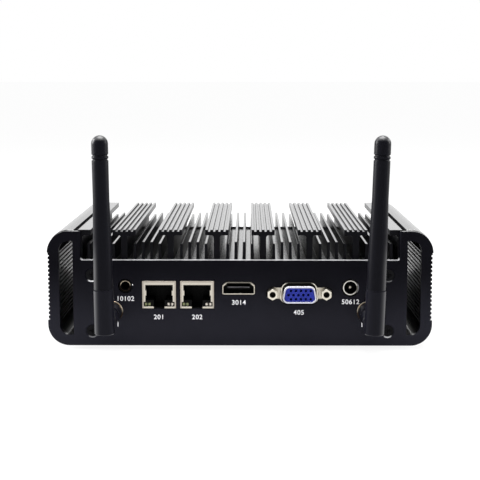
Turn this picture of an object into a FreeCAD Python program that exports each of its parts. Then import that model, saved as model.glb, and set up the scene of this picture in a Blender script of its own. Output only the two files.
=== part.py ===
import FreeCAD, Part
import math
import os

V = FreeCAD.Vector
os.makedirs("parts", exist_ok=True)

# Frame: X runs along the connector panel, Y from that panel (at -Y) to the panel opposite,
# Z up. The origin is the middle of the four mounting holes, on the outer face of the
# bottom cover. All sizes are millimetres.

# Casing
WIDTH = 180.0
HEIGHT = 54.0              # end plates, bottom edge to the top of their ears
CORNER_R = 10.0
BODY_LEN = 124.0           # extrusions, between the two end plates
PLATE_T = 3.0
TOP_RISE = 0.4             # the extrusions end this far above the plates' ears
SHEET_CLEAR = 0.2          # round a sheet that is laid in between two others

# Side rails: a hollow extrusion each, ribbed outside and inside its air tunnel
OUTER_WALL = 5.5           # rail's outside to the tips of the ribs in the tunnel
TUNNEL_W = 6.5
TUNNEL_FLOOR = 5.0
TUNNEL_ROOF = 4.5          # top of the plates' ears down to the top of the tunnel
TUNNEL_R = 4.5
INNER_WALL = 2.25
RIB_PITCH = 2.0
RIB_TIP = 1.0
RIB_ROOT = 0.5
RIB_DEPTH_OUT = 0.6
RIB_DEPTH_IN = 0.8
RIB_STEP = 0.35            # ribbed band set back from the rail's plain corners
RIB_MARGIN = 0.4
GROOVE_W = 2.0             # shadow groove between rail and heat sink
GROOVE_DEPTH = 3.4
LEDGE_T = 2.5              # ledge that the bottom cover is screwed to
LEDGE_W = 9.6
COVER_T = 2.0

# Heat sink: base, T-shaped fins, blades between them, and a flat bar at each side
FLOOR_Z = 39.6
BASE_T = 3.6
FIN_COUNT = 6
BAR_SHARE = 0.5            # width of a T-bar, of the pitch of the fins
BAR_T = 2.6
STEM_T = 2.9
STEM_FILLET = 1.2
BAR_GROOVES = 4
GROOVE_TOP = 1.2
GROOVE_BOTTOM = 1.05
GROOVE_CUT = 0.85
SIDE_BAR_W = 5.9
SIDE_WALL = 2.0
BLADES = 4
BLADE_SHARE = 0.178        # pitch of the blades, of the pitch of the fins
BLADE_ROOT = 1.5
BLADE_TIP = 1.15
INNER_RISE = 0.746         # blades, of the height from the floor to the T-bars
OUTER_RISE = 0.68

# Screws and the ports that they go into
PLATE_NOTCH_Z = 40.5       # edge of the plates behind which the fins stand
NOTCH_SIDE = 1.25          # side of the notch from the rail
NOTCH_R = 1.5
EDGE_CHAMFER = 0.3
SCREW_SIDE = 6.45          # middle of the screws from the rail
SCREW_Z_HIGH = 33.5
SCREW_Z_LOW = 7.0
BOSS_W = 6.0
SCREW_HEAD_R = 2.75
SCREW_R = 1.5
SCREW_CORE_R = 1.25        # tapped hole, at its core
SCREW_SINK = 0.5           # heads lie this far below the plate's face
MOUTH_FLARE = 0.45         # their mouths open out by this towards the face
HEAD_H = 1.6
SCREW_LEN = 8.0
COVER_SCREW_LEN = 4.4
COVER_SCREW_END = 12.0     # from the inside of the end plates
RECESS_W = 0.7
RECESS_LEN = 2.8
RECESS_DEPTH = 1.1

# Underside
HOLE_SPACING = 75.0        # common four-hole pattern for arms and wall plates
HOLE_R = 1.65
RUBBER_R = 6.0
RUBBER_H = 2.0
RUBBER_SIDE = 15.75        # middle of a foot from the rail, and from the end plate
RUBBER_END = 17.0
RUBBER_EDGE = 0.6

# Main board, hung under the heat sink with its processor upwards
BOARD_Z = 31.2             # underside of the board, which the sockets hang from
BOARD_T = 1.6
BOARD_SIDE = 9.75          # board to rail
BOARD_CLEAR = 0.6          # board edge to end plate
POST_R = 2.5
POST_INSET = 4.0           # posts from the sides of the board, and from the end plates
POST_END = 17.0
POST_CORE = 3.0            # depth of a post's tapped hole
POST_GRIP = 2.5            # length of screw in it
CHIP_W = 24.0
CHIP_T = 1.2
SPREADER_W = 36.0
PAD_T = 0.5
CARD_T = 1.1
CARD_DROP = 2.4            # board down to the top of each plug-in card
CARD_GAP = 2.4             # between cards and sockets
MEMORY_W, MEMORY_LEN = 67.6, 30.0
SLOT_H = 4.0
SLOT_LEN = 6.0
SLOT_WALL = 1.2
SLOT_GRIP = 3.0
STORAGE_W, STORAGE_LEN = 50.8, 29.8
RADIO_CARD_W, RADIO_CARD_LEN = 30.0, 26.8
EDGE_SOCKET_LEN = 4.0      # edge socket of a storage or radio card
PILLAR_R = 2.0
PILLAR_INSET = 3.0

# Sockets in the connector panel. The room that they leave free between the rails is shared
# out beside them, from the left; the height is the middle of the socket.
PORT_GAP = 0.2             # panel opening round a socket
PORT_PROUD = 0.3
FREE_BEFORE_AUDIO = 0.3247
FREE_BEFORE_LAN_1 = 0.0798
FREE_BEFORE_LAN_2 = 0.034
FREE_BEFORE_VIDEO = 0.0665
FREE_BEFORE_DSUB = 0.0915
FREE_BEFORE_POWER = 0.068
FREE_BY_RADIO = 0.16
RADIO_SIDE = 6.64          # room that an antenna needs beside the rail
AUDIO_Z = 28.25
DSUB_Z = 24.9
POWER_Z = 27.5
RADIO_Z = 16.2

LAN_W = 15.8
LAN_H = 12.95
LAN_DROP = 0.5             # board to the shield, which stands on its solder legs
LAN_LEN = 21.0
LAN_SHEET = 0.3
LAN_RIM_SIDE = 1.5
LAN_RIM_TOP = 1.9
LAN_RIM_FOOT = 0.85
PLUG_W = 11.9
PLUG_H = 6.9
PLUG_LEN = 13.0
TAB_W = 5.0
SPRING_DROP = 4.5          # top of the shield to the springs on its side rims
SPRING_H = 2.4
SPRING_OUT = 0.45
LAMP_W = 2.9
LAMP_H = 1.3
LAMP_DEEP = 2.0
LAMP_WINDOW = 0.8          # the rim is cut back this far beside a lamp
LAMP_WINDOW_H = 2.2
WIRE_COUNT = 8
WIRE_PITCH = 1.02
WIRE_W = 0.42
WIRE_T = 0.35
WIRE_START = 3.0           # behind the socket's mouth
WIRE_RUN = 7.0
WIRE_DROP = 2.0

VIDEO_W = 15.2
VIDEO_H = 5.9
VIDEO_LEN = 11.5
VIDEO_WALL = 0.5
VIDEO_R = 0.8
VIDEO_DROP = 0.95          # board to the shell of the video socket
VIDEO_SLOPE_W = 1.8
VIDEO_SLOPE_H = 1.7
VIDEO_TONGUE_W = 10.4
VIDEO_TONGUE_T = 1.2
VIDEO_TONGUE_DROP = 2.95   # top of the shell to the middle of the tongue
VIDEO_TONGUE_SINK = 1.2
LEG_W = 1.0
LEG_INSET = 2.5

DSUB_W = 16.5              # across the bottom, before its corners are rounded
DSUB_H = 7.9
DSUB_LEAN = 10.0           # degrees, its sides lean in upwards
DSUB_R = 2.4
DSUB_WALL = 0.7
DSUB_OUT = 5.9             # shell, from its flange to its rim
DSUB_CUT = 1.5             # panel opening round the shell
DSUB_LIP = 1.25            # raised lip of the flange round the shell
DSUB_LIP_T = 0.6
DSUB_LIP_W = 0.6
EAR_H = 5.4                # slot in the panel from the shell to each standoff
FLANGE_W = 30.8
FLANGE_H = 12.4
FLANGE_T = 0.8
FLANGE_R = 1.0
FLANGE_SINK = 0.8          # flange below the panel's face
INSERT_SINK = 0.5          # insert below the shell's rim
INSERT_REAR = 9.0
JACKSCREW_SPACING = 24.99
JACKSCREW_AF = 4.7
JACKSCREW_LEN = 5.0
JACKSCREW_R = 1.3
JACKSCREW_WEB = 0.5
PINS = 5                   # in each of three rows
PIN_HOLE_R = 0.6
PIN_HOLE_LEN = 4.0
PIN_PITCH = 2.29
PIN_ROW = 1.98

POWER_R = 3.5              # metal sleeve of the power inlet
POWER_WALL = 0.55
POWER_NOSE = 0.5
POWER_PIN_R = 1.0
POWER_W = 9.0
POWER_H = 10.2
POWER_LEN = 13.0
POWER_DEEP = 9.0
POWER_SINK = 0.5           # moulded nose below the panel's face
SLEEVE_SINK = 0.2
POWER_PIN_SINK = 1.6

AUDIO_R = 3.0
AUDIO_BORE_R = 1.8
AUDIO_W = 6.4
AUDIO_LEN = 12.5
AUDIO_WALL = 1.0           # rear wall, and the length of the gold lip
AUDIO_LIP_R = 2.5
AUDIO_LIP_T = 0.3
AUDIO_NOSE_SINK = 0.4      # moulded nose below the panel's face
AUDIO_SINK = 0.15

# Antennas
THREAD_R = 3.15
THREAD_OUT = 8.0
THREAD_IN = 9.0
THREAD_WEB = 1.0
WASHER_R = 5.0
WASHER_T = 0.5
NUT_AF = 8.0
NUT_T = 2.0
COUPLING_R = 4.7
COUPLING_LEN = 9.5
COUPLING_WEB = 2.3
COUPLING_FLAT_COUNT = 18
STUB_R = 2.65
COLLAR_T = 1.2
TURN_GAP = 0.1             # between pieces that turn in each other
KNUCKLE_R = 4.4
KNUCKLE_EDGE = 0.7
HINGE_OUT = 31.0           # hinge pin in front of the panel
SWEEP_R = 7.0              # room that the foot of the whip sweeps about the pin
TONGUE_T = 3.8
TONGUE_R = 3.3
TONGUE_ROOT = 1.5
HINGE_GAP = 0.2
PIN_R = 1.0
PIN_SHORT = 1.0            # pin shorter than the foot is wide
FOOT_DROP = 4.15           # foot of the whip below the pin
FOOT_R = 4.45
FOOT_EDGE = 0.4
FOOT_LEN = 20.15
SLEEVE_R = 4.25
TIP_R = 3.65
SLEEVE_LEN = 67.8
TAPER_LEN = 40.0
TAPER_BULGE = 0.12
SPIGOT_R = 2.4
SPIGOT_LEN = 6.0
RING_CUT = 0.42
RING_W = 0.9
RING_PITCH = 1.8
RING_DROP = 8.7            # first ring below the tip
LEAN_LEFT = 0.67           # degrees that the antennas lean outwards
LEAN_RIGHT = 1.75
LEAD_R = 0.65
LEAD_RUN = 12.0            # straight out of a feed-through, and before the card
LEAD_DIP = 4.0
LEAD_SPREAD = 3.0          # leads from the middle of the radio card
BEND_SHARE = 0.45          # share of the shorter run that a bend takes

# Panel opposite: start button, four sockets, two lights
BUTTON_SHARE = 0.713       # places across, of the way from the middle to a rail
USB_SHARE = 0.2376
LIGHT_SHARE = 0.594
BUTTON_Z = 24.0
BUTTON_R = 4.25
BUTTON_SKIRT = 0.6
BUTTON_PROUD = 0.8
BUTTON_TRAVEL = 0.8
BUTTON_LEN = 5.0
BUTTON_EDGE = 0.4
BEZEL_R = 7.0
BEZEL_T = 1.2
BEZEL_STEP = 1.0           # shoulder that holds the cap, below the panel's face
BARREL_R = 5.9
BARREL_LEN = 12.0
SWITCH_REAR = 3.0
USB_COUNT = 4
USB_W = 13.2
USB_H = 5.8
USB_LEN = 14.0
USB_WALL = 0.35
USB_R = 0.75
USB_REAR = 3.0
USB_DROP = 0.4
USB_TONGUE_T = 1.8
USB_TONGUE_LIFT = 0.55
USB_TONGUE_SIDE = 0.7
USB_TONGUE_SINK = 1.0
LIGHT_PITCH = 7.0
LIGHT_R = 1.5
LIGHT_LEN = 8.0
LIGHT_LEG = 2.0

# Places that follow from the sizes above
FRONT = -BODY_LEN / 2 - PLATE_T          # outer face of the connector panel
FRONT_IN = FRONT + PLATE_T
BACK = -FRONT
BACK_IN = BACK - PLATE_T
RAIL_TOP = HEIGHT + TOP_RISE
TUNNEL_OUT_X = WIDTH / 2 - OUTER_WALL
TUNNEL_IN_X = TUNNEL_OUT_X - TUNNEL_W
RAIL_IN_X = TUNNEL_IN_X - INNER_WALL
TUNNEL_TOP = HEIGHT - TUNNEL_ROOF
BAR_Z = RAIL_TOP - BAR_T
BASE_Z = FLOOR_Z - BASE_T
FIN_PITCH = 2 * RAIL_IN_X / (FIN_COUNT + 1)
BAR_W = FIN_PITCH * BAR_SHARE
GROOVE_PITCH = BAR_W / (BAR_GROOVES + 0.5)
BLADE_PITCH = FIN_PITCH * BLADE_SHARE
BLADE_INNER_Z = FLOOR_Z + (BAR_Z - FLOOR_Z) * INNER_RISE
BLADE_OUTER_Z = FLOOR_Z + (BAR_Z - FLOOR_Z) * OUTER_RISE
NOTCH_HALF = RAIL_IN_X - NOTCH_SIDE
SCREW_X = RAIL_IN_X - SCREW_SIDE
COVER_SCREW_Y = BACK_IN - COVER_SCREW_END
RUBBER_X, RUBBER_Y = RAIL_IN_X - RUBBER_SIDE, BACK_IN - RUBBER_END
BOARD_HALF_W = RAIL_IN_X - BOARD_SIDE
POST_X, POST_Y = BOARD_HALF_W - POST_INSET, BACK_IN - POST_END
BOARD_TOP = BOARD_Z + BOARD_T
LAN_TOP = BOARD_Z - LAN_DROP
LAN_Z = LAN_TOP - LAN_H
VIDEO_TOP = BOARD_Z - VIDEO_DROP
USB_TOP = BOARD_Z - USB_DROP
HINGE_Y = FRONT - HINGE_OUT
CARD_Z = BOARD_Z - CARD_DROP - CARD_T    # underside of the plug-in cards
MEMORY_Y = FRONT - PORT_PROUD + LAN_LEN + CARD_GAP + SLOT_LEN - SLOT_GRIP
CARD_ROW_Y = MEMORY_Y + MEMORY_LEN + CARD_GAP
STORAGE_X = (CARD_GAP + STORAGE_W) / 2
RADIO_CARD_X = -(CARD_GAP + RADIO_CARD_W) / 2
USB_PITCH = RAIL_IN_X * USB_SHARE
LIGHT_X = -RAIL_IN_X * LIGHT_SHARE
BUTTON_X = RAIL_IN_X * BUTTON_SHARE
FREE = 2 * RAIL_IN_X - AUDIO_W - 2 * LAN_W - VIDEO_W - FLANGE_W - POWER_W
AUDIO_X = -RAIL_IN_X + FREE * FREE_BEFORE_AUDIO + AUDIO_W / 2
LAN_X1 = AUDIO_X + AUDIO_W / 2 + FREE * FREE_BEFORE_LAN_1 + LAN_W / 2
LAN_X2 = LAN_X1 + LAN_W + FREE * FREE_BEFORE_LAN_2
VIDEO_X = LAN_X2 + LAN_W / 2 + FREE * FREE_BEFORE_VIDEO + VIDEO_W / 2
DSUB_X = VIDEO_X + VIDEO_W / 2 + FREE * FREE_BEFORE_DSUB + FLANGE_W / 2
POWER_X = DSUB_X + FLANGE_W / 2 + FREE * FREE_BEFORE_POWER + POWER_W / 2
RADIO_X = RAIL_IN_X - RADIO_SIDE - FREE * FREE_BY_RADIO
USB_Z = USB_TOP - USB_H / 2


class Outline:
    """A closed outline in the XZ plane, drawn edge by edge."""

    def __init__(self, x, z):
        self.first = V(x, 0, z)
        self.at = self.first
        self.edges = []

    def to(self, x, z):
        point = V(x, 0, z)
        if (point - self.at).Length > 1e-6:
            self.edges.append(Part.LineSegment(self.at, point).toShape())
            self.at = point
        return self

    def turn(self, cx, cz, r, start, end):
        """Line to the start of an arc about a centre, then the arc, in degrees."""
        def on_arc(angle):
            a = math.radians(angle)
            return V(cx + r * math.cos(a), 0, cz + r * math.sin(a))
        first = on_arc(start)
        self.to(first.x, first.z)
        last = on_arc(end)
        self.edges.append(Part.Arc(self.at, on_arc((start + end) / 2), last).toShape())
        self.at = last
        return self

    def path(self, points):
        for x, z in points:
            self.to(x, z)
        return self

    def face(self):
        self.to(self.first.x, self.first.z)
        return Part.Face(Part.Wire(self.edges))


def prism(face, y, length):
    """Pull an outline along Y."""
    placed = face.copy()
    placed.translate(V(0, y, 0))
    return placed.extrude(V(0, length, 0))


def block(x0, x1, y0, y1, z0, z1):
    return Part.makeBox(x1 - x0, y1 - y0, z1 - z0, V(x0, y0, z0))


def rod(x, z, r, y0, y1):
    """Round bar along Y."""
    return Part.makeCylinder(r, y1 - y0, V(x, y0, z), V(0, 1, 0))


def tube(x, z, r_out, r_in, y0, y1):
    return rod(x, z, r_out, y0, y1).cut(rod(x, z, r_in, y0, y1))


def hexagon(x, z, flats, y0, y1, sides=6):
    """Prism with flat sides along Y, measured over its flats."""
    r = flats / 2 / math.cos(math.pi / sides)
    shape = None
    for i in range(sides):
        a = 2 * math.pi * (i + 0.5) / sides
        corner = (x + r * math.cos(a), z + r * math.sin(a))
        if shape is None:
            shape = Outline(*corner)
        else:
            shape.to(*corner)
    return prism(shape.face(), y0, y1 - y0)


def rounded_rectangle(x, z, w, h, r):
    left, right, low, high = x - w / 2, x + w / 2, z - h / 2, z + h / 2
    shape = Outline(left + r, low)
    shape.turn(right - r, low + r, r, -90, 0)
    shape.turn(right - r, high - r, r, 0, 90)
    shape.turn(left + r, high - r, r, 90, 180)
    shape.turn(left + r, low + r, r, 180, 270)
    return shape.face()


def spun(profile, x, y, z):
    """Turn a half section, drawn as radius and height, about an upright axis."""
    solid = profile.face().revolve(V(0, 0, 0), V(0, 0, 1), 360)
    solid.translate(V(x, y, z))
    return solid


def mirrored(solid):
    return solid.mirror(V(0, 0, 0), V(1, 0, 0))


def save(node, *solids):
    shape = solids[0] if len(solids) == 1 else Part.makeCompound(list(solids))
    shape.exportStep(f"parts/{node}.step")


def rib_points(x_tip, x_root, z_start, count, step):
    """Corners of a ribbed band, one rib after another."""
    flank = (RIB_PITCH - RIB_TIP - RIB_ROOT) / 2
    points = [(x_tip, z_start)]
    for i in range(count):
        z = z_start + step * i * RIB_PITCH
        points.append((x_tip, z + step * RIB_TIP))
        points.append((x_root, z + step * (RIB_TIP + flank)))
        points.append((x_root, z + step * (RIB_TIP + flank + RIB_ROOT)))
        points.append((x_tip, z + step * RIB_PITCH))
    return points


def outer_band():
    """The ribbed band on the outside: where it starts, going down, and its corners."""
    top = RAIL_TOP - CORNER_R - RIB_MARGIN
    count = int((top - CORNER_R - RIB_MARGIN) / RIB_PITCH)
    tip = WIDTH / 2 - RIB_STEP
    return rib_points(tip, tip - RIB_DEPTH_OUT, top, count, -1)


def right_side(outline, top):
    """Right flank from the top corner down to the bottom corner, ribs between."""
    edge = WIDTH / 2
    outline.turn(edge - CORNER_R, top - CORNER_R, CORNER_R, 90, 0)
    band = outer_band()
    outline.to(edge, band[0][1])
    outline.path(band)
    outline.to(edge, band[-1][1])
    outline.turn(edge - CORNER_R, CORNER_R, CORNER_R, 0, -90)
    return outline


def tunnel_face(ribbed):
    """Section of the air tunnel; its outer wall is ribbed in the rail and plain in a plate."""
    out, r = TUNNEL_OUT_X, TUNNEL_R
    shape = Outline(TUNNEL_IN_X, TUNNEL_FLOOR)
    shape.turn(out - r, TUNNEL_FLOOR + r, r, -90, 0)
    if ribbed:
        low = TUNNEL_FLOOR + r + RIB_MARGIN
        count = int((TUNNEL_TOP - r - RIB_MARGIN - low) / RIB_PITCH)
        shape.path(rib_points(out, out + RIB_DEPTH_IN, low, count, 1))
    shape.turn(out - r, TUNNEL_TOP - r, r, 0, 90)
    shape.to(TUNNEL_IN_X, TUNNEL_TOP)
    return shape.face()


def side_rail():
    """Right rail: outer skin, air tunnel, ledge for the cover and a screw port on it."""
    ledge_in = RAIL_IN_X - LEDGE_W
    ledge_top = COVER_T + LEDGE_T
    boss_top = SCREW_Z_LOW + BOSS_W / 2
    shape = Outline(RAIL_IN_X + GROOVE_W, RAIL_TOP)
    right_side(shape, RAIL_TOP)
    shape.to(RAIL_IN_X, 0)
    shape.to(RAIL_IN_X, COVER_T)
    shape.to(ledge_in, COVER_T)
    shape.to(ledge_in, ledge_top)
    shape.to(SCREW_X - BOSS_W / 2, ledge_top)
    shape.to(SCREW_X - BOSS_W / 2, SCREW_Z_LOW)
    shape.turn(SCREW_X, SCREW_Z_LOW, BOSS_W / 2, 180, 0)
    shape.to(SCREW_X + BOSS_W / 2, ledge_top)
    shape.to(RAIL_IN_X, ledge_top)
    shape.to(RAIL_IN_X, RAIL_TOP - GROOVE_DEPTH)
    shape.to(RAIL_IN_X + GROOVE_W, RAIL_TOP - GROOVE_DEPTH)
    rail = prism(shape.face(), FRONT_IN, BODY_LEN)
    rail = rail.cut(prism(tunnel_face(True), FRONT_IN, BODY_LEN))
    rail = rail.cut(rod(SCREW_X, SCREW_Z_LOW, SCREW_CORE_R, FRONT_IN, BACK_IN))
    for y in (-COVER_SCREW_Y, COVER_SCREW_Y):
        depth = COVER_SCREW_LEN - COVER_T + TURN_GAP
        hole = Part.makeCylinder(SCREW_CORE_R, depth, V(SCREW_X, y, COVER_T))
        rail = rail.cut(hole)
    return rail


def t_fin(shape, x):
    """One T-shaped fin, drawn from left to right, with its grooved bar."""
    stem, bar, r = STEM_T / 2, BAR_W / 2, STEM_FILLET
    shape.to(x - stem, FLOOR_Z)
    shape.turn(x - stem - r, BAR_Z - r, r, 0, 90)
    shape.to(x - bar, BAR_Z)
    shape.to(x - bar, RAIL_TOP)
    for i in range(BAR_GROOVES):
        g = x + (i - (BAR_GROOVES - 1) / 2) * GROOVE_PITCH
        shape.to(g - GROOVE_TOP / 2, RAIL_TOP)
        shape.to(g - GROOVE_BOTTOM / 2, RAIL_TOP - GROOVE_CUT)
        shape.to(g + GROOVE_BOTTOM / 2, RAIL_TOP - GROOVE_CUT)
        shape.to(g + GROOVE_TOP / 2, RAIL_TOP)
    shape.to(x + bar, RAIL_TOP)
    shape.to(x + bar, BAR_Z)
    shape.turn(x + stem + r, BAR_Z - r, r, 90, 180)
    shape.to(x + stem, FLOOR_Z)


def blade_set(shape, x):
    """The low blades between two fins, the inner ones a little higher."""
    for i in range(BLADES):
        place = x + (i - (BLADES - 1) / 2) * BLADE_PITCH
        top = BLADE_INNER_Z if 0 < i < BLADES - 1 else BLADE_OUTER_Z
        shape.to(place - BLADE_ROOT / 2, FLOOR_Z)
        shape.to(place - BLADE_TIP / 2, top)
        shape.to(place + BLADE_TIP / 2, top)
        shape.to(place + BLADE_ROOT / 2, FLOOR_Z)


def screw_port(shape, x):
    """Screw port under the base, drawn from right to left."""
    half = BOSS_W / 2
    shape.to(x + half, BASE_Z)
    shape.turn(x, SCREW_Z_HIGH, half, 0, -180)
    shape.to(x - half, BASE_Z)


def heat_sink():
    """The whole lid as one extrusion."""
    edge = RAIL_IN_X
    inner = edge - SIDE_WALL
    bar_in = edge - SIDE_BAR_W
    shape = Outline(-edge, BASE_Z)
    shape.to(-edge, RAIL_TOP)
    shape.to(-bar_in, RAIL_TOP)
    shape.to(-bar_in, BAR_Z)
    shape.turn(-inner + STEM_FILLET, BAR_Z - STEM_FILLET, STEM_FILLET, 90, 180)
    shape.to(-inner, FLOOR_Z)
    gaps = FIN_COUNT + 1
    for i in range(gaps):
        blade_set(shape, (i - (gaps - 1) / 2) * FIN_PITCH)
        if i < FIN_COUNT:
            t_fin(shape, (i - (FIN_COUNT - 1) / 2) * FIN_PITCH)
    shape.to(inner, FLOOR_Z)
    shape.turn(inner - STEM_FILLET, BAR_Z - STEM_FILLET, STEM_FILLET, 0, 90)
    shape.to(bar_in, BAR_Z)
    shape.to(bar_in, RAIL_TOP)
    shape.to(edge, RAIL_TOP)
    shape.to(edge, BASE_Z)
    screw_port(shape, SCREW_X)
    screw_port(shape, -SCREW_X)
    lid = prism(shape.face(), FRONT_IN, BODY_LEN)
    for x in (-SCREW_X, SCREW_X):
        lid = lid.cut(rod(x, SCREW_Z_HIGH, SCREW_CORE_R, FRONT_IN, BACK_IN))
    return lid


def plate_blank(y):
    """End plate: the rails' outline, notched at the top where the fins stand."""
    half = Outline(0, PLATE_NOTCH_Z)
    r = NOTCH_R
    half.turn(NOTCH_HALF - r, PLATE_NOTCH_Z + r, r, -90, 0)
    half.to(NOTCH_HALF, HEIGHT)
    right_side(half, HEIGHT)
    half.to(0, 0)
    right = prism(half.face(), y, PLATE_T)
    return right.fuse(mirrored(right)).removeSplitter().Solids[0]


def screw_places():
    for x in (-SCREW_X, SCREW_X):
        for z in (SCREW_Z_LOW, SCREW_Z_HIGH):
            yield x, z


def screw(x, z, face_y, inward):
    """Countersunk plate screw with a cross recess; inward is +1 or -1 along Y."""
    y = face_y + inward * SCREW_SINK
    ahead = V(0, inward, 0)
    head = Part.makeCone(SCREW_HEAD_R, SCREW_R, HEAD_H, V(x, y, z), ahead)
    thread_len = SCREW_LEN - HEAD_H
    shank = Part.makeCylinder(SCREW_CORE_R, thread_len, V(x, y + inward * HEAD_H, z), ahead)
    low, high = sorted((y, y + inward * RECESS_DEPTH))
    half, arm = RECESS_W / 2, RECESS_LEN / 2
    cross = block(x - half, x + half, low, high, z - arm, z + arm)
    cross = cross.fuse(block(x - arm, x + arm, low, high, z - half, z + half))
    return head.fuse(shank).cut(cross)


def end_plate(face_y, inward):
    """A plate with its windows, notch edge and countersunk holes, before its ports."""
    low_y = min(face_y, face_y + inward * PLATE_T)
    plate = plate_blank(low_y)
    window = prism(tunnel_face(False), low_y, PLATE_T)
    plate = plate.cut(window).cut(mirrored(window))
    notch = [e for e in plate.Edges if on_notch(e, face_y)]
    plate = plate.makeChamfer(EDGE_CHAMFER, notch)
    for x, z in screw_places():
        ahead = V(0, inward, 0)
        recess_r = SCREW_HEAD_R + SHEET_CLEAR / 2
        flare_r = recess_r + MOUTH_FLARE
        mouth = Part.makeCone(flare_r, recess_r, SCREW_SINK, V(x, face_y, z), ahead)
        y = face_y + inward * SCREW_SINK
        cone = Part.makeCone(recess_r, SCREW_R + SHEET_CLEAR / 2, HEAD_H, V(x, y, z), ahead)
        hole = Part.makeCylinder(SCREW_R + SHEET_CLEAR / 2, PLATE_T, V(x, face_y, z), ahead)
        plate = plate.cut(mouth.fuse(cone).fuse(hole))
    return plate


def on_notch(edge, face_y):
    """True for the notch's edges on a plate's outer face."""
    box = edge.BoundBox
    on_face = abs(box.YMin - face_y) < 1e-6 and abs(box.YMax - face_y) < 1e-6
    inside = box.XMax < NOTCH_HALF + 1e-6 and box.XMin > -NOTCH_HALF - 1e-6
    return on_face and inside and box.ZMin > PLATE_NOTCH_Z - 1e-6


def lan_socket(x):
    """Network socket: folded shield, moulded insert, contact wires and two lamps."""
    y, z0, z1 = FRONT - PORT_PROUD, LAN_Z, LAN_TOP
    half, s = LAN_W / 2, LAN_SHEET
    end = y + LAN_LEN
    shield = block(x - half, x + half, y, end, z0, z1)
    shield = shield.cut(block(x - half + s, x + half - s, y + s, end, z0 + s, z1 - s))
    rim = half - LAN_RIM_SIDE
    shield = shield.cut(block(x - rim, x + rim, y, y + s, z0 + LAN_RIM_FOOT, z1 - LAN_RIM_TOP))
    tab = TAB_W / 2
    shield = shield.cut(block(x - tab, x + tab, y, y + LAN_RIM_SIDE, z0, z0 + LAN_RIM_FOOT))
    low, window = z0 + LAN_RIM_FOOT, rim + LAMP_WINDOW
    shield = shield.cut(block(x - window, x + window, y, y + s, low, low + LAMP_WINDOW_H))

    high = z1 - SPRING_DROP
    for side in (-1, 1):
        a, b = sorted((x + side * rim, x + side * (rim - SPRING_OUT)))
        shield = shield.fuse(block(a, b, y, y + s, high - SPRING_H, high))

    front = y + s
    insert = block(x - half + s, x + half - s, front, end - s, z0 + s, z1 - s)
    roof = z1 - LAN_RIM_TOP - s
    cavity_low = roof - PLUG_H
    plug = PLUG_W / 2
    insert = insert.cut(block(x - plug, x + plug, front, front + PLUG_LEN, cavity_low, roof))
    insert = insert.cut(block(x - tab, x + tab, front, front + PLUG_LEN, z0 + s, cavity_low))
    lamps = []
    for side in (-1, 1):
        edge = rim + LAMP_WINDOW / 2
        a, b = sorted((x + side * edge, x + side * (edge - LAMP_W)))
        foot = low + (LAMP_WINDOW_H - LAMP_H) / 2
        pocket = block(a, b, front, front + LAMP_DEEP, foot, foot + LAMP_H)
        insert = insert.cut(pocket)
        lamps.append(pocket)
    wires = []
    for i in range(WIRE_COUNT):
        wx = x + (i - (WIRE_COUNT - 1) / 2) * WIRE_PITCH - WIRE_W / 2
        wires.append(contact_wire(wx, front, roof))
    return shield, insert, wires, lamps


def contact_wire(x, y, roof):
    """Springy wire that leaves the roof of the plug cavity and slopes to the back."""
    start, end, low = y + WIRE_START, y + WIRE_START + WIRE_RUN, roof - WIRE_DROP
    corners = [V(x, start, roof), V(x, start + 2 * WIRE_T, roof),
               V(x, end, low), V(x, end, low - WIRE_T)]
    face = Part.Face(Part.makePolygon(corners + [corners[0]]))
    return face.extrude(V(WIRE_W, 0, 0))


def video_outline(grow):
    """Flat video socket: narrow side up, because the board is above it."""
    half = VIDEO_W / 2 + grow
    top = VIDEO_TOP + grow
    low = VIDEO_TOP - VIDEO_H - grow
    r = VIDEO_R + grow
    shape = Outline(VIDEO_X, low)
    shape.turn(VIDEO_X + half - r, low + r, r, -90, 0)
    shape.to(VIDEO_X + half, top - VIDEO_SLOPE_H)
    shape.to(VIDEO_X + half - VIDEO_SLOPE_W, top)
    shape.to(VIDEO_X - half + VIDEO_SLOPE_W, top)
    shape.to(VIDEO_X - half, top - VIDEO_SLOPE_H)
    shape.turn(VIDEO_X - half + r, low + r, r, 180, 270)
    return shape.face()


def video_socket():
    y = FRONT - PORT_PROUD
    shell = prism(video_outline(0), y, VIDEO_LEN)
    back = y + VIDEO_LEN - 2 * VIDEO_WALL
    shell = shell.cut(prism(video_outline(-VIDEO_WALL), y, back - y))
    for side in (-1, 1):
        leg_x = VIDEO_X + side * (VIDEO_W / 2 - LEG_INSET) - LEG_W / 2
        leg_y = y + VIDEO_LEN / 2
        shell = shell.fuse(block(leg_x, leg_x + LEG_W, leg_y, back, VIDEO_TOP, BOARD_Z))
    high = VIDEO_TOP - VIDEO_TONGUE_DROP + VIDEO_TONGUE_T / 2
    half = VIDEO_TONGUE_W / 2
    tongue = block(VIDEO_X - half, VIDEO_X + half, y + VIDEO_TONGUE_SINK, back,
                   high - VIDEO_TONGUE_T, high)
    return shell, tongue


def d_outline(grow):
    """D shape of the many-pin screen socket, moved outwards on all sides by grow."""
    slope, aside = math.tan(math.radians(DSUB_LEAN)), 1 / math.cos(math.radians(DSUB_LEAN))
    h = DSUB_H / 2 + grow
    low_w = DSUB_W / 2 + grow * (aside + slope)
    high_w = DSUB_W / 2 - DSUB_H * slope + grow * (aside - slope)
    corners = [(-high_w, h), (-low_w, -h), (low_w, -h), (high_w, h)]
    points = [V(DSUB_X + px, 0, DSUB_Z + pz) for px, pz in corners]
    wire = Part.makePolygon(points + [points[0]])
    solid = Part.Face(wire).extrude(V(0, 1, 0))
    upright = [e for e in solid.Edges if abs(e.BoundBox.YLength - 1) < 1e-6]
    rounded = solid.makeFillet(DSUB_R + grow, upright)
    for face in rounded.Faces:
        if abs(face.BoundBox.YMax) < 1e-6:
            return face


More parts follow.
